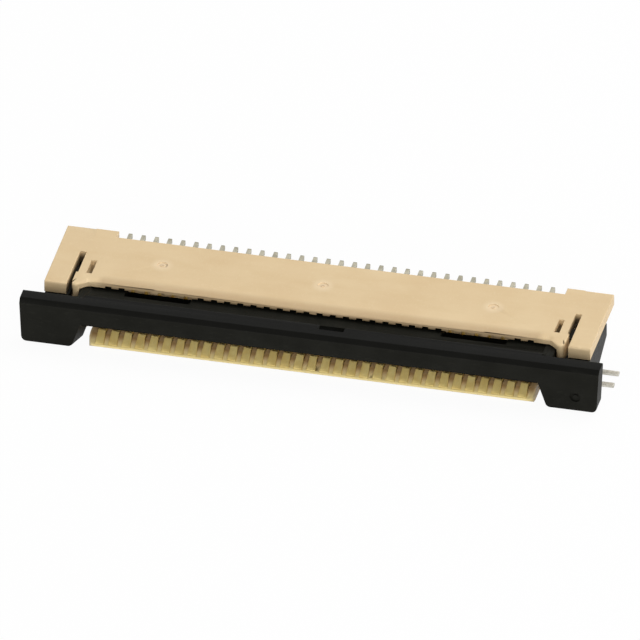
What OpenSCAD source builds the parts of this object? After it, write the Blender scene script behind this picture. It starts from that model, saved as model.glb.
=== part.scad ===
// Right-angle surface-mount connector for flat flexible cable, with a sliding lock.
// X runs along the row of contacts, Y from the cable mouth back to the solder tails,
// Z up from the circuit board. The origin is on the board plane, at the middle of the
// row, level with the front faces of the housing's two end arms. Millimetres.
// The slider is drawn pulled out, ready for the cable.

/* [Contacts] */
// Number of contacts in the row
contact_count = 33; // [9:2:51]
// Distance between neighbouring contacts
pitch = 0.5; // [0.5:0.05:0.8]
// Thickness of the sheet that the terminals are stamped from
blade_t = 0.15; // [0.12:0.01:0.2]
// Width of the coined spring arm under the cable
arm_w = 0.28; // [0.2:0.01:0.28]
// Height of the contact point over the ribs beside it
contact_rise = 0.14; // [0.1:0.01:0.16]

/* [Housing] */
// Height of the roof over the board
overall_h = 2; // [2:0.05:2.4]
// Thickness of the roof over the mouth
roof_t = 0.24; // [0.2:0.01:0.26]
// Thickness of the roof plate at the two ends
wing_t = 0.47; // [0.4:0.01:0.5]
// Length of the roof plate beyond the cable's edge, at each end
wing_reach = 1.84; // [1.8:0.01:2.1]
// Depth of the end plates, front to back
wing_depth = 3.88; // [3.7:0.01:4]
// Setback of the roof's front edge between the end arms
roof_setback = 0.42; // [0.35:0.01:0.5]
// Depth of the rear recess behind the row of contacts
rear_recess = 0.41; // [0.3:0.01:0.5]
// Depth of the cable mouth behind the arms' front faces
mouth_depth = 2.2; // [2:0.05:2.25]
// Reach of the lower jaw in front of the arms
jaw_reach = 1.36; // [1.34:0.01:1.4]
// Height of the jaw's ribs over the board
jaw_h = 0.44; // [0.42:0.01:0.5]

/* [Slider] */
// How far the slider travels when it is pushed shut
travel = 0.6; // [0.4:0.05:0.6]
// Height of the mouth between the jaw's ribs and the slider
cable_gap = 0.67; // [0.6:0.01:0.7]
// Reach of the slider's bar in front of the arms
bar_reach = 1.38; // [1.3:0.01:1.4]
// Reach of the ears beyond the cable's edge
ear_reach = 2.48; // [2.3:0.01:2.6]
// Clearance of the ears over the board
ear_lift = 0.14; // [0.14:0.01:0.3]

/* [Hidden] */
$fn = 48;
eps = 0.01;
axis_half = (contact_count + 1) * pitch / 2;   // half the width of the cable
row_x = [for (i = [0 : contact_count - 1]) (i - (contact_count - 1) / 2) * pitch];

// levels over the board
roof_under_z = overall_h - roof_t;
wing_under_z = overall_h - wing_t;
slider_under_z = jaw_h + cable_gap;
slider_top_z = overall_h - 0.05;

// stations along Y
body_back_y = wing_depth - rear_recess;
ear_back_y = -travel - 0.03;
stop_y = 0.88;             // back of the cheek's stop block
slot_back_y = 2.27;        // closed end of the slots beside the arms
groove_front_y = -1.24;    // front end of the contact grooves
groove_back_y = 2.38;      // and their back end
mouth_front_depth = 1.02;  // how deep the wide front of the mouth goes
spine_front_y = 2.35;
spine_back_y = 3.05;
tab_back_y = 4.02;
tail_back_y = 4.35;

// stations along X, all reckoned from the edge of the cable
jaw_half = axis_half - 0.06;
slot_half = axis_half + 0.05;
mouth_half = axis_half + 0.36;
mouth_front_half = axis_half + 0.55;
cheek_half = axis_half + 0.76;
stop_half = cheek_half + 0.08;
arm_inner = axis_half + 1;
wing_half = axis_half + wing_reach;

// slots for the terminals
groove_w = arm_w + 0.04;
groove_floor_z = 0.26;
beam_slot_w = blade_t + 0.09;
beam_slot_top_z = overall_h - 0.12;
tail_t = 0.15;

// slider
bevel = 0.16;
tongue_half = axis_half + 0.18;
flank_half = axis_half + 0.5;
tongue_tip_y = 1;
ear_inner = axis_half + 0.02;
ear_outer = axis_half + ear_reach;
side_arm_inner = axis_half + 0.9;
side_arm_outer = wing_half - 0.02;
side_arm_top_z = wing_under_z - 0.03;
side_arm_back_y = 2.78;
notch_w = 2.48;
notch_x = [-0.72 * axis_half, 0.69 * axis_half];
notch_front_y = 0.08;

// fitting nails
nail_t = 0.12;
prong_w = 0.2;
prong_y = [0.75, 1.55];
prong_reach = axis_half + 2.57;
nail_inner = cheek_half - 0.2;
nail_outer = cheek_half + 0.12;
tang_h = 0.75;

terminal_names = [for (i = [1 : contact_count]) str("terminal_", i < 10 ? "0" : "", i)];

// points of an arc about c, from angle a0 to a1
function arc(c, r, a0, a1, n = 5) =
    [for (k = [0 : n]) c + r * [cos(a0 + (a1 - a0) * k / n), sin(a0 + (a1 - a0) * k / n)]];

// extrudes a (y, z) profile along X between two stations
module profile_x(x0, x1) {
    translate([x0, 0, 0])
        rotate([90, 0, 90])
            linear_extrude(x1 - x0)
                children();
}

// extrudes a (x, z) profile along Y between two stations
module profile_y(y0, y1) {
    translate([0, y1, 0])
        rotate([90, 0, 0])
            linear_extrude(y1 - y0)
                children();
}

module block(x0, x1, y0, y1, z0, z1) {
    translate([x0, y0, z0])
        cube([x1 - x0, y1 - y0, z1 - z0]);
}

module both_ends() {
    children();
    mirror([1, 0, 0])
        children();
}

// ---- housing: one moulded piece ----

// lower jaw, seen from the side: a flat lip with a rounded nose, undercut above the solder
module jaw_outline() {
    nose_r = 0.08;
    polygon(concat(
        [[0.5, 0], [-1.05, 0]],
        arc([nose_r - jaw_reach, jaw_h - nose_r], nose_r, 228, 90),
        [[0.5, jaw_h]]
    ));
}

// the jaw seen from above, with rounded corners
module jaw_plan() {
    corner = 0.2;
    both_ends_2d()
        polygon(concat(
            [[0, 0.5], [0, -jaw_reach]],
            arc([jaw_half - corner, corner - jaw_reach], corner, 270, 360),
            [[jaw_half, 0.5]]
        ));
}

module jaw() {
    intersection() {
        profile_x(-jaw_half, jaw_half)
            jaw_outline();
        translate([0, 0, -eps])
            linear_extrude(overall_h)
                jaw_plan();
    }
}

// body between the cheeks, with the shoulders and stop blocks, before the mouth is taken out
module body_outline() {
    shoulder_r = 0.14;
    polygon(concat(
        [[0, roof_setback], [axis_half + 0.2, roof_setback]],
        arc([cheek_half - 0.08, shoulder_r], shoulder_r, 215, 360, 7),
        [[stop_half, 0.3], [stop_half, stop_y]],
        [[cheek_half, stop_y], [cheek_half, wing_depth], [0, wing_depth]]
    ));
}

module body() {
    both_ends()
        linear_extrude(overall_h)
            body_outline();
}

// end plates: flat wings of the roof that shelter the slider's side arms
module wings() {
    edge = 0.08;
    both_ends()
        difference() {
            profile_x(cheek_half - eps, wing_half)
                polygon(concat(
                    [[0, wing_under_z]],
                    arc([edge, overall_h - edge], edge, 180, 90),
                    arc([wing_depth - edge, overall_h - edge], edge, 90, 0),
                    [[wing_depth, wing_under_z]]
                ));
            wing_slot();
        }
}

// slot that frees the front of each wing, with rounded corners at its closed end
module wing_slot() {
    corner = 0.07;
    inner = cheek_half - 2 * eps;
    translate([0, 0, wing_under_z - eps])
        linear_extrude(wing_t + 2 * eps)
            polygon(concat(
                [[inner, -eps]],
                [[inner, slot_back_y]],
                arc([arm_inner - corner, slot_back_y - corner], corner, 90, 0),
                [[arm_inner, -eps]]
            ));
}

// mouth: wide in front and above for the slider, as wide as the cable below
module mouth() {
    floor_z = slider_under_z - 0.02;
    block(-mouth_front_half, mouth_front_half, -eps, mouth_front_depth, floor_z, roof_under_z);
    block(-mouth_half, mouth_half, -eps, mouth_depth, floor_z, roof_under_z);
    block(-slot_half, slot_half, -eps, mouth_depth, jaw_h, roof_under_z - eps);
}

// recess behind the row; its two ends differ a little
module rear_recess_cut() {
    block(-axis_half + 0.1, axis_half + 0.07, body_back_y, wing_depth + eps, -eps, overall_h + eps);
}

module core_pockets() {
    both_ends()
        block(axis_half + 0.25, axis_half + 0.46, stop_y, 1.75, roof_under_z - 0.3, overall_h + eps);
}

// one terminal's seat: groove in the jaw, slot under the roof and rear slot for its spine
module terminal_seat() {
    block(-groove_w / 2, groove_w / 2, groove_front_y, groove_back_y, groove_floor_z, jaw_h + eps);
    block(-beam_slot_w / 2, beam_slot_w / 2, 0, spine_front_y, roof_under_z - eps, beam_slot_top_z);
    block(-blade_t / 2, blade_t / 2, mouth_depth - eps, wing_depth, tail_t, beam_slot_top_z);
    block(-blade_t / 2, blade_t / 2, spine_front_y + 0.25, wing_depth, -eps, tail_t + eps);
}

// shallow dimples with the stubs of the mould's gates
module gate_marks() {
    depth = 0.03;
    for (k = [-0.745, -0.03, 0.73])
        translate([k * axis_half, 2, overall_h - depth])
            difference() {
                cylinder(d = 0.4, h = depth + eps);
                cylinder(d = 0.16, h = depth - 0.005);
            }
}

module nail_seats() {
    both_ends() {
        block(nail_inner, nail_outer, 0.55, 1.75, -eps, nail_t);
        block(nail_inner, nail_inner + nail_t, 0.85, 1.45, 0, tang_h);
    }
}

module housing() {
    color([0.86, 0.76, 0.6])
        difference() {
            union() {
                body();
                wings();
                jaw();
            }
            mouth();
            rear_recess_cut();
            core_pockets();
            gate_marks();
            nail_seats();
            for (x = row_x)
                translate([x, 0, 0])
                    terminal_seat();
        }
}

// ---- terminals: stamped forks ----

// upper beam, spine, rear tab and solder tail, all in the plane of the sheet
module fork_outline() {
    beam_top_z = overall_h - 0.13;
    beam_tip_z = roof_under_z - 0.02;
    tab_under_z = overall_h - 0.33;
    polygon(concat(
        [[0.48, beam_top_z]],
        [[0.46, beam_top_z - 0.04], [0.5, beam_tip_z], [1.3, beam_tip_z - 0.04]],
        [[spine_front_y - 0.1, beam_tip_z - 0.16]],
        arc([spine_front_y - 0.1, beam_tip_z - 0.26], 0.1, 90, 0, 3),
        [[spine_front_y, 0.22]],
        [[spine_front_y + 0.25, 0.22], [spine_front_y + 0.25, 0]],
        [[tail_back_y, 0], [tail_back_y, tail_t]],
        [[body_back_y + 0.2, tail_t]],
        arc([spine_back_y + 0.1, tail_t + 0.3], 0.1, 270, 180, 3),
        arc([spine_back_y + 0.1, tab_under_z - 0.1], 0.1, 180, 90, 3),
        [[tab_back_y, tab_under_z], [tab_back_y, beam_top_z]]
    ));
}

// lower spring arm, coined wider, with the contact bump near its tip
module spring_outline() {
    bump_z = jaw_h + contact_rise;
    bump_y = -0.6;
    bump_r = 0.25;
    polygon(concat(
        [[spine_front_y + 0.02, jaw_h + 0.01], [-0.15, jaw_h + 0.01]],
        arc([bump_y, bump_z - bump_r], bump_r, 70, 104),
        [[bump_y - 0.45, jaw_h + 0.035], [groove_front_y + 0.05, jaw_h - 0.01]],
        [[groove_front_y + 0.02, jaw_h - 0.05], [groove_front_y + 0.06, groove_floor_z + 0.04]],
        [[bump_y - 0.35, groove_floor_z + 0.06], [bump_y, bump_z - 0.15]],
        [[-0.2, groove_floor_z + 0.02], [spine_front_y + 0.02, groove_floor_z + 0.02]]
    ));
}

module terminal(i) {
    color([0.72, 0.62, 0.38])
        translate([row_x[i], 0, 0]) {
            profile_x(-blade_t / 2, blade_t / 2)
                fork_outline();
            profile_x(-arm_w / 2, arm_w / 2)
                spring_outline();
        }
}

// ---- fitting nails: bent plates that solder the ends down ----

module nail() {
    color([0.7, 0.7, 0.68]) {
        block(nail_inner, nail_outer, 0.55, 1.75, 0, nail_t);
        block(nail_inner, nail_inner + nail_t, 0.85, 1.45, 0, tang_h);
        for (y = prong_y)
            block(nail_outer - eps, prong_reach, y - prong_w / 2, y + prong_w / 2, 0, nail_t);
    }
}

module nail_left() {
    mirror([1, 0, 0])
        nail();
}

module nail_right() {
    nail();
}

// ---- slider: one moulded piece ----

// bar and tongue: bevelled front edge, top falling back under the roof
module bar_outline() {
    edge = 0.08;
    polygon(concat(
        arc([edge - bar_reach, slider_under_z + edge], edge, 270, 180, 4),
        [[-bar_reach, slider_top_z - bevel], [bevel - bar_reach, slider_top_z]],
        [[-0.56, slider_top_z], [-0.3, roof_under_z - 0.03]],
        [[roof_setback, roof_under_z - 0.09]],
        [[tongue_tip_y - 0.08, roof_under_z - 0.17], [tongue_tip_y, roof_under_z - 0.27]],
        [[tongue_tip_y, slider_under_z + 0.15], [tongue_tip_y - 0.2, slider_under_z]]
    ));
}

// the bar seen from above: a tongue with cut corners
module bar_plan() {
    both_ends_2d()
        polygon([
            [0, -bar_reach - eps],
            [tongue_half, -bar_reach - eps],
            [tongue_half, tongue_tip_y - 0.15],
            [tongue_half - 0.15, tongue_tip_y + eps],
            [0, tongue_tip_y + eps]
        ]);
}

module both_ends_2d() {
    children();
    mirror([1, 0])
        children();
}

module bar() {
    intersection() {
        profile_x(-tongue_half, tongue_half)
            bar_outline();
        linear_extrude(overall_h)
            bar_plan();
    }
}

// webs that brace the tongue against the ears
module flank() {
    translate([0, 0, slider_under_z])
        linear_extrude(roof_under_z - 0.03 - slider_under_z)
            polygon([
                [tongue_half - 0.1, ear_back_y - 0.1],
                [flank_half, ear_back_y - 0.1],
                [flank_half, 0.25],
                [flank_half - 0.1, 0.36],
                [tongue_half - 0.1, 0.36]
            ]);
}

// ear seen from the front: outer side with draft, rounded foot
module ear_front() {
    foot_r = 0.22;
    draft = 0.08;
    polygon(concat(
        [[ear_inner, slider_top_z], [ear_inner, ear_lift]],
        arc([ear_outer - draft - foot_r, ear_lift + foot_r], foot_r, 270, 355, 4),
        [[ear_outer, slider_top_z]]
    ));
}

// ear seen from the side: bevelled in front, rounded at the back
module ear_side() {
    round_r = 0.13;
    foot_r = 0.05;
    polygon(concat(
        [[bevel - bar_reach, slider_top_z], [-bar_reach, slider_top_z - bevel]],
        arc([foot_r - bar_reach, ear_lift + foot_r], foot_r, 180, 270, 3),
        [[ear_back_y, ear_lift]],
        arc([ear_back_y - round_r, slider_top_z - round_r], round_r, 0, 90)
    ));
}

// slanted cut that leads the cable in at the ear's inner side, through a point on the ear's front
module lead_in_cut(x, z, slant) {
    reach = 3;
    translate([x, -bar_reach, z])
        rotate([0, -slant, 19.3])
            translate([-reach, -reach, -reach])
                cube([reach, 2 * reach, 2 * reach]);
}

module ear() {
    difference() {
        intersection() {
            profile_y(-bar_reach, ear_back_y)
                ear_front();
            profile_x(ear_inner, ear_outer)
                ear_side();
        }
        lead_in_cut(axis_half + 0.19, slider_under_z - 0.03, 17.7);
        lead_in_cut(axis_half + 0.6, ear_lift, 54);
    }
}

// side arm under the wing, with the lug that catches behind the stop block
module side_arm() {
    front_y = ear_back_y - 0.1;
    profile_x(side_arm_inner, side_arm_outer)
        polygon([
            [front_y, side_arm_top_z],
            [side_arm_back_y - 0.15, side_arm_top_z],
            [side_arm_back_y, side_arm_top_z - 0.1],
            [side_arm_back_y, side_arm_top_z - 0.62],
            [1.67, 0.44],
            [1.1, 0.28],
            [front_y, 0.28]
        ]);
    translate([0, 0, 0.6])
        linear_extrude(side_arm_top_z - 0.6)
            polygon([
                [side_arm_inner + eps, stop_y + 0.04],
                [cheek_half + 0.02, stop_y + 0.04],
                [cheek_half + 0.02, side_arm_back_y - 0.3],
                [side_arm_inner + eps, side_arm_back_y - 0.15]
            ]);
}

module tongue_notches() {
    for (x = notch_x)
        block(x - notch_w / 2, x + notch_w / 2, notch_front_y, tongue_tip_y + eps,
              slider_under_z + 0.2, overall_h);
}

// pocket for a fingernail or a tool
module thumb_pocket() {
    block(0.23, 1.18, -0.84, -0.5, slider_top_z - 0.22, overall_h);
}

// ring left by an ejector pin on the right ear
module ejector_mark() {
    depth = 0.06;
    translate([axis_half + 1.59, depth - bar_reach, 0.74])
        rotate([90, 0, 0])
            difference() {
                cylinder(d = 0.4, h = depth + eps);
                cylinder(d = 0.2, h = depth - 0.01);
            }
}

module slider() {
    color([0.13, 0.13, 0.12])
        difference() {
            union() {
                bar();
                both_ends() {
                    flank();
                    ear();
                    side_arm();
                }
            }
            tongue_notches();
            thumb_pocket();
            ejector_mark();
        }
}

housing();
slider();
nail_left();
nail_right();
for (i = [0 : contact_count - 1])
    terminal(i);
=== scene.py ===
"""Looks of the flat-cable connector: moulded beige housing, black slider, stamped contacts and nails."""
import math

import bmesh
import bpy
from mathutils import Matrix, Vector


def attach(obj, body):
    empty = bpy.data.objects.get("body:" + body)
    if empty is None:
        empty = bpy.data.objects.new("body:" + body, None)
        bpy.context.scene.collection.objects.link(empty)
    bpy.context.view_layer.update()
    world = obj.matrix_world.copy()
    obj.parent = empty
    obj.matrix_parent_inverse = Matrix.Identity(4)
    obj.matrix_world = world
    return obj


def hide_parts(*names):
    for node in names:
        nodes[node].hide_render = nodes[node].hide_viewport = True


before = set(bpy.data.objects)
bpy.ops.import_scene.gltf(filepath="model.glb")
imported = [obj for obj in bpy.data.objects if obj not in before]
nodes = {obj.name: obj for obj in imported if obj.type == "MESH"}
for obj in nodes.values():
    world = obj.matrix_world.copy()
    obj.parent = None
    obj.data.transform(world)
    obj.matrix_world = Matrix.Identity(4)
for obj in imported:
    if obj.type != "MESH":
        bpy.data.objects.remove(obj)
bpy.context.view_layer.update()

MM = 0.001

# ---- camera and studio ----

PICTURE_PIXELS = 640
PIXELS_PER_MM = 27.12                   # scale of the photo at the object
CAMERA_AZIMUTH = math.radians(13.15)    # to the right of straight ahead
CAMERA_ELEVATION = math.radians(32.87)
VIEW_WIDTH = PICTURE_PIXELS / PIXELS_PER_MM * MM
AIM = Vector((-0.2, 1.3, 0.93)) * MM
CAMERA_DISTANCE = 0.4

# name, azimuth and elevation in degrees, distance and size in metres, power in watts
LAMPS = (
    ("key", 140, 60, 0.30, 0.20, 0.42),
    ("side", 97, 26, 0.30, 0.16, 0.26),
    ("front", 5, 17, 0.40, 0.30, 0.90),
)
ROOM_FRONT = 0.22       # strength of the world's light in front, and behind
ROOM_BACK = 0.55
FLOOR_HALF = 0.6
FLOOR_GLOW = 0.95       # share of the floor's colour, as the camera sees it, that no shadow darkens


def direction(azimuth, elevation):
    """Unit vector towards an azimuth and an elevation, in radians.

    Azimuth 0 is in front, at -Y, and a quarter turn is on the right, at +X.
    """
    flat = math.cos(elevation)
    return Vector((math.sin(azimuth) * flat, -math.cos(azimuth) * flat, math.sin(elevation)))


def make_camera():
    back = direction(CAMERA_AZIMUTH, CAMERA_ELEVATION)
    data = bpy.data.cameras.new("camera")
    data.type = "ORTHO"
    data.ortho_scale = VIEW_WIDTH
    data.clip_start = 0.01
    data.clip_end = 5.0
    camera = bpy.data.objects.new("camera", data)
    bpy.context.scene.collection.objects.link(camera)
    camera.location = AIM + back * CAMERA_DISTANCE
    camera.rotation_mode = "QUATERNION"
    camera.rotation_quaternion = (-back).to_track_quat("-Z", "Y")
    bpy.context.scene.camera = camera


def make_lamp(name, azimuth, elevation, distance, size, power):
    """A soft square lamp aimed at the object, in degrees, metres and watts."""
    back = direction(math.radians(azimuth), math.radians(elevation))
    data = bpy.data.lights.new(name, "AREA")
    data.shape = "SQUARE"
    data.size = size
    data.energy = power
    lamp = bpy.data.objects.new(name, data)
    bpy.context.scene.collection.objects.link(lamp)
    lamp.location = AIM + back * distance
    lamp.rotation_mode = "QUATERNION"
    lamp.rotation_quaternion = (-back).to_track_quat("-Z", "Y")
    lamp.visible_camera = False


def seen_or_mirrored(tree):
    """A factor of 1 for what the camera sees, also in a mirror or through glass."""
    path = tree.nodes.new("ShaderNodeLightPath")
    total = path.outputs["Is Camera Ray"]
    for name in ("Is Glossy Ray", "Is Transmission Ray"):
        either = tree.nodes.new("ShaderNodeMath")
        either.operation = "MAXIMUM"
        tree.links.new(total, either.inputs[0])
        tree.links.new(path.outputs[name], either.inputs[1])
        total = either.outputs[0]
    return total


def make_world():
    """White to the camera; for light, a dim room that grows brighter from the front to the back."""
    world = bpy.data.worlds.new("world")
    bpy.context.scene.world = world
    world.use_nodes = True
    tree = world.node_tree
    tree.nodes.clear()
    link = tree.links.new
    out = tree.nodes.new("ShaderNodeOutputWorld")
    coords = tree.nodes.new("ShaderNodeTexCoord")
    split = tree.nodes.new("ShaderNodeSeparateXYZ")
    link(coords.outputs["Generated"], split.inputs[0])
    ramp = tree.nodes.new("ShaderNodeMapRange")
    ramp.inputs["From Min"].default_value = -1.0
    ramp.inputs["From Max"].default_value = 1.0
    ramp.inputs["To Min"].default_value = ROOM_FRONT
    ramp.inputs["To Max"].default_value = ROOM_BACK
    link(split.outputs["Y"], ramp.inputs["Value"])
    white = tree.nodes.new("ShaderNodeBackground")
    white.inputs["Color"].default_value = (1, 1, 1, 1)
    white.inputs["Strength"].default_value = 1.0
    room = tree.nodes.new("ShaderNodeBackground")
    room.inputs["Color"].default_value = (1, 1, 1, 1)
    link(ramp.outputs["Result"], room.inputs["Strength"])
    mix = tree.nodes.new("ShaderNodeMixShader")
    link(seen_or_mirrored(tree), mix.inputs[0])
    link(room.outputs[0], mix.inputs[1])
    link(white.outputs[0], mix.inputs[2])
    link(mix.outputs[0], out.inputs["Surface"])


def make_floor():
    """White paper that keeps a faint shadow of the object."""
    half = FLOOR_HALF
    corners = [(-half, -half, 0), (half, -half, 0), (half, half, 0), (-half, half, 0)]
    mesh = bpy.data.meshes.new("floor")
    mesh.from_pydata(corners, [], [(0, 1, 2, 3)])
    floor = bpy.data.objects.new("floor", mesh)
    bpy.context.scene.collection.objects.link(floor)
    mat = bpy.data.materials.new("floor_paper")
    mat.use_nodes = True
    tree = mat.node_tree
    tree.nodes.clear()
    out = tree.nodes.new("ShaderNodeOutputMaterial")
    paper = tree.nodes.new("ShaderNodeBsdfDiffuse")
    paper.inputs["Color"].default_value = (0.9, 0.9, 0.9, 1)
    glow = tree.nodes.new("ShaderNodeEmission")
    glow.inputs["Strength"].default_value = 1.0
    share = tree.nodes.new("ShaderNodeMath")
    share.operation = "MULTIPLY"
    share.inputs[1].default_value = FLOOR_GLOW
    mix = tree.nodes.new("ShaderNodeMixShader")
    tree.links.new(seen_or_mirrored(tree), share.inputs[0])
    tree.links.new(share.outputs[0], mix.inputs[0])
    tree.links.new(paper.outputs[0], mix.inputs[1])
    tree.links.new(glow.outputs[0], mix.inputs[2])
    tree.links.new(mix.outputs[0], out.inputs["Surface"])
    mesh.materials.append(mat)


# ---- stations on the object, in millimetres ----

ROOF_Z = 2.0
ROOF_FRONT_Y = 0.42     # of the plain solid
ROOF_EDGE_Y = 0.36      # of the finished piece
ROOF_PLATE_Z = 1.7      # the plate of the roof lies above this level
ROOF_HALF = 8.72        # where the roof's front edge meets the shoulders
ROLL_OFF = 0.36         # how far behind its front edge the roof begins to fall
ROLL_DROP = 0.08
BEAM_SLOT_Z = 1.88      # top of the slots for the upper beams
SLOT_MOUTH_Z = 1.84     # the same at the roof's front edge, as finished
WING_HALF = 10.34
SHOULDER_HALF = 9.3
GATES = (-6.3325, -0.255, 6.205)
GATE_Y = 2.0
POCKETS = (-8.855, 8.855)

RAMP_Y = -0.62          # where the jaw begins to fall away towards its nose
NOSE_Y = -1.14          # of the finished piece
JAW_REACH = 1.36        # of the plain solid
JAW_HALF = 8.44
JAW_CORNER = 0.35
JAW_TOP_Z = 0.5         # the jaw lies below this level
COMB_TOP_Z = 0.7        # the jaw and the spring arms lie below this level
JAW_FALL = 0.55         # share of its height that the jaw loses on the way to its nose

ARM_SQUEEZE = 0.83      # of a spring arm's reach in front of the ramp
ARM_FALL = 0.42
ARM_SPREAD = 0.3
BEAM_TIP_Y = (0.4, 0.55)
BEAM_Z = 1.6            # the upper beams lie above this level
BEAM_SETBACK = 0.16

DARK_BLOCK_CENTRE = (9.375, 1.28, 1.54)    # of the block in the right wing's slot
DARK_BLOCK_SIZE = (0.19, 0.72, 0.4)


# ---- materials ----

def srgb(r, g, b):
    """Linear colour of an 8-bit screen colour."""
    def line(c):
        c /= 255
        return c / 12.92 if c <= 0.04045 else ((c + 0.055) / 1.055) ** 2.4
    return (line(r), line(g), line(b), 1)


class Material:
    """A principled material with procedural colour, roughness and bump.

    Coordinates are in millimetres of the object's frame.
    """

    def __init__(self, name, metallic, specular=0.5):
        self.mat = bpy.data.materials.new(name)
        self.mat.use_nodes = True
        self.tree = self.mat.node_tree
        self.bsdf = self.tree.nodes["Principled BSDF"]
        self.bsdf.inputs["Metallic"].default_value = metallic
        self.bsdf.inputs["Specular IOR Level"].default_value = specular
        self.coords = self.add("ShaderNodeTexCoord").outputs["Object"]

    def add(self, kind):
        return self.tree.nodes.new(kind)

    def link(self, a, b):
        self.tree.links.new(a, b)

    def stretched(self, sx, sy, sz):
        """Object coordinates in millimetres, scaled along each axis."""
        node = self.add("ShaderNodeMapping")
        node.inputs["Scale"].default_value = (sx / MM, sy / MM, sz / MM)
        self.link(self.coords, node.inputs["Vector"])
        return node.outputs["Vector"]

    def noise(self, scale, detail=3.0, roughness=0.55, stretch=(1, 1, 1)):
        """Noise of about 0 to 1 with `scale` features a millimetre."""
        node = self.add("ShaderNodeTexNoise")
        node.inputs["Scale"].default_value = scale
        node.inputs["Detail"].default_value = detail
        node.inputs["Roughness"].default_value = roughness
        self.link(self.stretched(*stretch), node.inputs["Vector"])
        return node.outputs["Fac"]

    def span(self, value, low, high, to_low=0.0, to_high=1.0, smooth=False):
        """Maps low..high to to_low..to_high, clamped; low may be the larger of the two."""
        node = self.add("ShaderNodeMapRange")
        if smooth:
            node.interpolation_type = "SMOOTHSTEP"
        node.inputs["From Min"].default_value = low
        node.inputs["From Max"].default_value = high
        node.inputs["To Min"].default_value = to_low
        node.inputs["To Max"].default_value = to_high
        self.link(value, node.inputs["Value"])
        return node.outputs["Result"]

    def mix(self, factor, a, b):
        """Mixes two colours; each is a socket or a tuple, and the factor is a socket or a number."""
        node = self.add("ShaderNodeMix")
        node.data_type = "RGBA"
        sockets = (node.inputs[0], node.inputs[6], node.inputs[7])
        for value, socket in zip((factor, a, b), sockets):
            if isinstance(value, (tuple, float, int)):
                socket.default_value = value
            else:
                self.link(value, socket)
        return node.outputs[2]

    def math(self, operation, *values):
        node = self.add("ShaderNodeMath")
        node.operation = operation
        for value, socket in zip(values, node.inputs):
            if isinstance(value, (float, int)):
                socket.default_value = value
            else:
                self.link(value, socket)
        return node.outputs[0]

    def times(self, first, *others):
        for other in others:
            first = self.math("MULTIPLY", first, other)
        return first

    def axis(self, name):
        """One object coordinate in millimetres."""
        node = self.add("ShaderNodeSeparateXYZ")
        self.link(self.stretched(1, 1, 1), node.inputs[0])
        return node.outputs[name]

    def facing(self, name):
        """One coordinate of the surface's normal in the object's frame."""
        node = self.add("ShaderNodeSeparateXYZ")
        self.link(self.add("ShaderNodeTexCoord").outputs["Normal"], node.inputs[0])
        return node.outputs[name]

    def distance(self, point, squeeze=(1, 1, 1)):
        """Distance in millimetres from a point, with each axis stretched by its squeeze factor."""
        node = self.add("ShaderNodeVectorMath")
        node.operation = "DISTANCE"
        self.link(self.stretched(*squeeze), node.inputs[0])
        node.inputs[1].default_value = [p * q for p, q in zip(point, squeeze)]
        return node.outputs["Value"]

    def bump(self, height, distance_mm, strength=1.0, below=None):
        node = self.add("ShaderNodeBump")
        node.inputs["Strength"].default_value = strength
        node.inputs["Distance"].default_value = distance_mm * MM
        self.link(height, node.inputs["Height"])
        if below is not None:
            self.link(below, node.inputs["Normal"])
        return node.outputs["Normal"]

    def finish(self, colour, roughness, normal):
        self.link(colour, self.bsdf.inputs["Base Color"])
        self.link(roughness, self.bsdf.inputs["Roughness"])
        self.link(normal, self.bsdf.inputs["Normal"])
        return self.mat


def gate_light_and_shadow(m, colour):
    """Painted highlight about each gate mark, where its raised rim catches light, and painted shadow in its
    middle.
    """
    for x in GATES:
        # painted highlight: a pale ring where the gate's raised rim catches light
        rim_highlight = m.span(m.distance((x, GATE_Y, ROOF_Z)), 0.12, 0.5, 0.6, 0.0, True)
        colour = m.mix(rim_highlight, colour, srgb(238, 216, 182))
        # painted shadow in the middle of the gate mark
        gate_shadow = m.distance((x, GATE_Y, ROOF_Z), (1.0, 2.4, 1.0))
        gate_shadow = m.span(gate_shadow, 0.03, 0.1, 0.7, 0.0, True)
        colour = m.mix(gate_shadow, colour, srgb(176, 140, 108))
    return colour


def housing_light_and_shade(m, colour):
    """Painted light and shade by position, matched to the photo where the lamps alone left it too pale or
    too dark.
    """
    x, y, z = (m.axis(name) for name in "XYZ")
    side = m.math("ABSOLUTE", x)

    # painted shade on the band behind the roof's front edge, where it rolls off
    roof_edge_shade = m.times(
        m.span(y, 0.9, 0.45, 0.0, 1.0, True),
        m.span(z, 1.7, 1.75),
        m.span(side, ROOF_HALF - 0.25, ROOF_HALF - 0.5),
    )
    colour = m.mix(m.times(roof_edge_shade, 0.4), colour, srgb(146, 116, 82))

    # painted light: the front of the jaw made pale, nearly white towards its nose
    jaw_nose_light = m.span(y, -0.7, NOSE_Y)
    colour = m.mix(m.times(jaw_nose_light, 0.95), colour, srgb(255, 234, 164))

    # painted shade in the grooves of the jaw and on the floor of the mouth
    mouth_shade = m.times(
        m.span(y, -1.0, RAMP_Y, 0.0, 1.0, True),
        m.span(z, 0.5, 0.4),
        m.span(y, 2.1, 1.6),
        m.span(side, JAW_HALF - 0.01, JAW_HALF - 0.1),
    )
    colour = m.mix(m.times(mouth_shade, 0.8), colour, srgb(144, 100, 26))

    # painted shade in the slots under the roof
    under_roof_shade = m.times(
        m.span(z, 1.885, 1.87),
        m.span(z, 1.0, 1.1),
        m.span(y, 0.40, 0.44),
        m.span(y, 3.3, 2.6),
        m.span(side, 8.4, 8.35),
    )
    colour = m.mix(m.times(under_roof_shade, 0.9), colour, srgb(40, 28, 16))

    # painted shade on the walls of the wings' slots, on the right only behind the stop block
    wing_slot_shade = m.times(
        m.span(side, 9.24, 9.255),
        m.span(side, 9.515, 9.505),
        m.span(z, 1.93, 1.72),
        m.math("MAXIMUM", m.span(y, 0.8, 0.95), m.span(x, 1.0, -1.0)),
        m.span(z, 1.48, 1.53),
        m.span(y, 2.35, 2.28),
    )
    return m.mix(m.times(wing_slot_shade, 0.85), colour, srgb(52, 38, 22))


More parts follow.
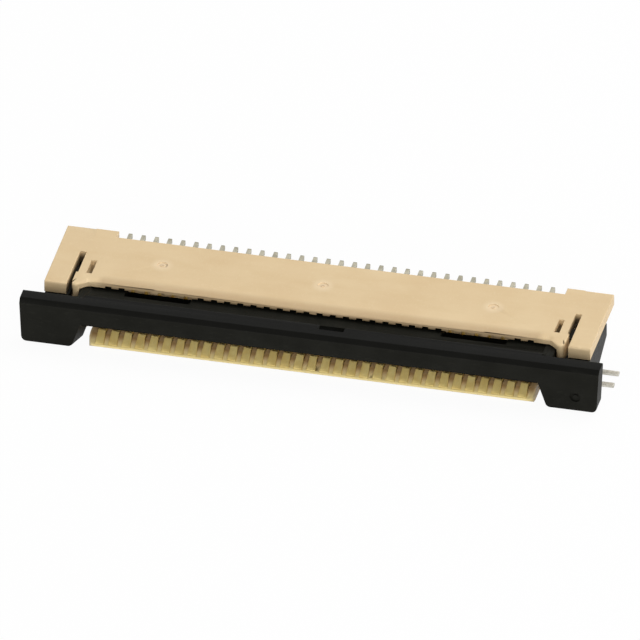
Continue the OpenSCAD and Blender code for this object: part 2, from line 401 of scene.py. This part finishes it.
def housing_plastic():
    """Beige heat-resistant polymer: cloudy, with drawn-out flow marks and fine glass-fibre grain."""
    m = Material("housing_plastic", 0.0, 0.35)
    clouds = m.noise(0.45, 4.0, 0.6)
    flow = m.noise(1.0, 3.0, 0.5, (0.5, 1.6, 1.0))
    grain = m.noise(14.0, 2.0, 0.6, (1.0, 0.45, 1.0))
    colour = m.mix(m.span(clouds, 0.32, 0.68), srgb(217, 190, 147), srgb(223, 198, 156))
    colour = m.mix(m.span(flow, 0.45, 0.75, 0.0, 0.35), colour, srgb(211, 182, 136))
    colour = m.mix(m.span(grain, 0.55, 0.8, 0.0, 0.4), colour, srgb(229, 210, 173))
    colour = housing_light_and_shade(m, gate_light_and_shadow(m, colour))
    roughness = m.span(grain, 0.3, 0.7, 0.42, 0.58)
    normal = m.bump(flow, 0.02, 0.15)
    return m.finish(colour, roughness, m.bump(grain, 0.004, 0.6, normal))


def slider_plastic():
    """Black glass-filled polymer: fine pale fibres in the skin and a satin moulded surface."""
    m = Material("slider_plastic", 0.0, 0.05)
    clouds = m.noise(0.8, 3.0)
    fibres = m.noise(9.0, 2.0, 0.6, (0.35, 1.4, 1.2))
    grain = m.noise(20.0, 2.0)
    colour = m.mix(m.span(clouds, 0.35, 0.65), srgb(24, 24, 20), srgb(30, 30, 26))
    colour = m.mix(m.span(fibres, 0.6, 0.8, 0.0, 0.5), colour, srgb(42, 42, 37))
    # painted shade: the bar's upper faces are made darker than its front, as in the photo
    upper = m.times(m.span(m.facing("Z"), 0.35, 0.7), m.span(m.axis("Y"), -0.3, -0.5))
    colour = m.mix(m.times(upper, 0.75), colour, srgb(6, 6, 5))
    roughness = m.span(grain, 0.3, 0.7, 0.4, 0.55)
    normal = m.bump(clouds, 0.03, 0.15)
    return m.finish(colour, roughness, m.bump(grain, 0.004, 0.5, normal))


def contact_metal():
    """Stamped copper alloy: gold-flashed spring arms in front, dull tin on the spine, tabs and tails."""
    m = Material("contact_metal", 0.35)
    patches = m.noise(2.2, 3.0)
    scratches = m.noise(22.0, 2.0, 0.6, (1.0, 0.18, 1.0))
    gold = m.mix(m.span(patches, 0.35, 0.65), srgb(236, 206, 124), srgb(248, 224, 146))
    tin = m.mix(m.span(patches, 0.35, 0.65), srgb(158, 153, 134), srgb(188, 183, 164))
    to_tin = m.span(m.axis("Y"), 2.4, 3.2, 0.0, 1.0, True)
    colour = m.mix(to_tin, gold, tin)
    colour = m.mix(m.span(scratches, 0.5, 0.8, 0.0, 0.3), colour, srgb(206, 190, 146))
    # painted shade on the upper beams, where the housing shades them; the tails are made darker towards
    # their ends
    beam_shade = m.times(m.span(m.axis("Z"), 1.5, 1.6), m.span(m.axis("Y"), 2.4, 1.6))
    colour = m.mix(m.times(beam_shade, 0.92), colour, srgb(38, 31, 18))
    # darker towards the tails' ends
    cut = m.span(m.axis("Y"), 3.93, 4.01, 0.0, 0.6, True)
    colour = m.mix(cut, colour, srgb(112, 104, 76))
    roughness = m.span(scratches, 0.3, 0.7, 0.34, 0.5)
    return m.finish(colour, roughness, m.bump(scratches, 0.003, 0.5))


def nail_tin():
    """Matte tin plate, a little mottled by its crystals, with faint rolling lines."""
    m = Material("nail_tin", 1.0)
    crystals = m.noise(9.0, 3.0, 0.6)
    rolling = m.noise(18.0, 2.0, 0.5, (0.15, 1.2, 1.2))
    colour = m.mix(m.span(crystals, 0.35, 0.65), srgb(176, 172, 160), srgb(208, 205, 194))
    roughness = m.span(rolling, 0.3, 0.7, 0.34, 0.5)
    return m.finish(colour, roughness, m.bump(crystals, 0.004, 0.5))


# ---- pieces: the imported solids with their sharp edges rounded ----

WIDEST = 0.25                       # mm, the radius that a bevel weight of 1 stands for
SHARP = math.radians(20)            # edges that turn by less are left alone
SMOOTH = math.radians(32)           # edges that turn by more are shaded sharp
FLAT = math.radians(0.6)            # faces that turn by less are joined
WELD = 1e-4                         # mm


def split_at(bm, axis, station):
    """Cuts every face at one station along an axis, and marks the cut so that it is kept."""
    everything = bm.verts[:] + bm.edges[:] + bm.faces[:]
    normal = Vector([float(i == axis) for i in range(3)])
    cut = bmesh.ops.bisect_plane(
        bm, geom=everything, dist=WELD, plane_co=normal * station, plane_no=normal)
    for item in cut["geom_cut"]:
        if isinstance(item, bmesh.types.BMEdge):
            item.seam = True


def softened(node, radius_of, segments=2, cuts=(), reshape=None):
    """A new piece with the shape of a CAD node and its convex edges rounded.

    radius_of(a, b) gives the radius in millimetres for the edge between points a and b, or 0.
    cuts lists (axis, station) pairs, and reshape(bm) moves vertices before the rounding.
    """
    mesh = nodes[node].data.copy()
    bm = bmesh.new()
    bm.from_mesh(mesh)
    bmesh.ops.scale(bm, vec=(1 / MM,) * 3, verts=bm.verts)
    bmesh.ops.remove_doubles(bm, verts=bm.verts, dist=WELD)
    for axis, station in cuts:
        split_at(bm, axis, station)
    if reshape:
        reshape(bm)
    bmesh.ops.dissolve_limit(
        bm, angle_limit=FLAT, verts=bm.verts, edges=bm.edges, delimit={"SEAM"})
    layers = bm.edges.layers.float
    weight = layers.get("bevel_weight_edge") or layers.new("bevel_weight_edge")
    for edge in bm.edges:
        if len(edge.link_faces) == 2 and edge.calc_face_angle_signed(0.0) > SHARP:
            a, b = (v.co for v in edge.verts)
            edge[weight] = radius_of(a, b) / WIDEST
    bm.to_mesh(mesh)
    bm.free()
    raw = bpy.data.objects.new(node + "_raw", mesh)
    bpy.context.scene.collection.objects.link(raw)
    bevel = raw.modifiers.new("edges", "BEVEL")
    bevel.limit_method = "WEIGHT"
    bevel.width = WIDEST
    bevel.segments = segments
    bevel.use_clamp_overlap = False
    bevel.harden_normals = True
    for face in mesh.polygons:
        face.use_smooth = True
    mesh.set_sharp_from_angle(angle=SMOOTH)
    bpy.context.view_layer.update()
    depsgraph = bpy.context.evaluated_depsgraph_get()
    done = bpy.data.meshes.new_from_object(raw.evaluated_get(depsgraph))
    done.transform(Matrix.Scale(MM, 4))
    done.name = node + "_finished"
    bpy.data.objects.remove(raw)
    piece = bpy.data.objects.new(node + "_finished", done)
    bpy.context.scene.collection.objects.link(piece)
    return piece


def stand_in(node, body, mat, radius_of, segments=2, cuts=(), reshape=None):
    """Shows the softened copy of a CAD node in its place, on its body and in its material slot."""
    piece = softened(node, radius_of, segments, cuts, reshape)
    piece.data.materials.clear()
    piece.data.materials.append(mat)
    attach(piece, body)
    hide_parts(node)


def middle(a, b):
    return (a + b) / 2


def near(value, target, reach=0.01):
    return abs(value - target) < reach


def slope_down(bm, squeeze, fall, spread=0.0, middle_x=0.0):
    """Turns the flat front of the jaw, or of an arm, into a slope down to a nose that is set back."""
    for v in bm.verts:
        if v.co.y < RAMP_Y and v.co.z < COMB_TOP_Z:
            v.co.y = RAMP_Y + (v.co.y - RAMP_Y) * squeeze
            along = (RAMP_Y - v.co.y) / (RAMP_Y - NOSE_Y)
            v.co.z *= 1 - fall * along
            v.co.x = middle_x + (v.co.x - middle_x) * (1 + spread * along)


def roll_roof(bm):
    """Brings the roof's front edge forward, lets it roll off and lowers the mouths of its slots."""
    for v in bm.verts:
        if abs(v.co.x) < ROOF_HALF and v.co.z > ROOF_PLATE_Z:
            if near(v.co.y, ROOF_FRONT_Y):
                v.co.y = ROOF_EDGE_Y
                if near(v.co.z, BEAM_SLOT_Z):
                    v.co.z = SLOT_MOUTH_Z
            if near(v.co.z, ROOF_Z) and v.co.y < ROOF_EDGE_Y + ROLL_OFF:
                v.co.z -= ROLL_DROP * (1 - (v.co.y - ROOF_EDGE_Y) / ROLL_OFF) ** 2


def round_jaw(bm):
    """Rounds the jaw's two front corners, seen from above."""
    start = NOSE_Y + JAW_CORNER
    for v in bm.verts:
        if v.co.y < start and v.co.z < JAW_TOP_Z:
            into = min((start - v.co.y) / JAW_CORNER, 1.0)
            limit = JAW_HALF - JAW_CORNER * (1 - math.sqrt(1 - into * into))
            if abs(v.co.x) > limit:
                v.co.x = math.copysign(limit, v.co.x)


def shape_housing(bm):
    slope_down(bm, (RAMP_Y - NOSE_Y) / (JAW_REACH + RAMP_Y), JAW_FALL)
    roll_roof(bm)
    round_jaw(bm)


def shape_terminal(bm):
    """Arm falling to its tip in front, and the upper beam's tip set back in its slot."""
    centre = sum(v.co.x for v in bm.verts) / len(bm.verts)
    slope_down(bm, ARM_SQUEEZE, ARM_FALL, ARM_SPREAD, centre)
    for v in bm.verts:
        if BEAM_TIP_Y[0] < v.co.y < BEAM_TIP_Y[1] and v.co.z > BEAM_Z:
            v.co.y += BEAM_SETBACK


def add_dark_blocks(bm):
    """Two black blocks on the slider, standing in the wings' slots behind the stop blocks, that darken the
    slots' lower parts.
    """
    x, y, z = DARK_BLOCK_CENTRE
    for side in (-1, 1):
        block = bmesh.ops.create_cube(bm, size=1.0)["verts"]
        bmesh.ops.scale(bm, vec=DARK_BLOCK_SIZE, verts=block)
        bmesh.ops.translate(bm, vec=Vector((side * x, y, z)), verts=block)


# radii in millimetres; a small one stands where a wider bevel would fold over a short edge

def housing_radius(a, b):
    m = middle(a, b)
    if any(math.hypot(m.x - x, m.y - GATE_Y) < 0.3 for x in GATES) and m.z > 1.9:
        return 0.012
    if near(m.y, ROOF_EDGE_Y) and m.z > 1.9 and abs(m.x) < ROOF_HALF:
        return 0.06     # known fault: leaves thin folded triangles beyond |x| 6.25
    if near(a.z, ROOF_Z) and near(b.z, ROOF_Z):
        if m.y < ROOF_EDGE_Y and abs(m.x) < SHOULDER_HALF:
            return 0.08
        return 0.03
    if near(abs(a.x), WING_HALF) and near(abs(b.x), WING_HALF):
        return 0.02
    return 0.0


def slider_radius(a, b):
    """Small about the ejector mark on the right ear."""
    m = middle(a, b)
    if near(m.x, 10.09, 0.25) and near(m.z, 0.74, 0.25) and m.y < -1.2:
        return 0.012
    return 0.025


def terminal_radius(a, b):
    """Wider on the spring arms in front than on the rest of the blade."""
    m = middle(a, b)
    return 0.03 if m.y < 0.2 and m.z < 0.7 else 0.015


def nail_radius(a, b):
    return 0.02


make_camera()
for lamp_settings in LAMPS:
    make_lamp(*lamp_settings)
make_world()
make_floor()

X, Y, Z = range(3)
HOUSING_X = (-6.25, -0.25, 6.25, -8.7, 8.7, -9.2, 9.2) + POCKETS
HOUSING_Y = (-0.9, -0.8, RAMP_Y, 0.45, 0.53, 0.62, 0.72, 2.5)
HOUSING_CUTS = [(X, x) for x in HOUSING_X] + [(Y, y) for y in HOUSING_Y]
SLIDER_X = (-9.86, 0.7, 9.86, 10.09)
SLIDER_CUTS = [(X, x) for x in SLIDER_X] + [(Y, -0.7), (Z, 1.0)]

stand_in("housing", "housing", housing_plastic(),
         housing_radius, 3, HOUSING_CUTS, shape_housing)
stand_in("slider", "slider", slider_plastic(),
         slider_radius, 2, SLIDER_CUTS, add_dark_blocks)
metal = contact_metal()
tin = nail_tin()
for name in sorted(nodes):
    if name.startswith("terminal"):
        stand_in(name, "housing", metal, terminal_radius, reshape=shape_terminal)
    if name.startswith("nail"):
        stand_in(name, "housing", tin, nail_radius)

scene = bpy.context.scene
scene.view_settings.view_transform = "Standard"
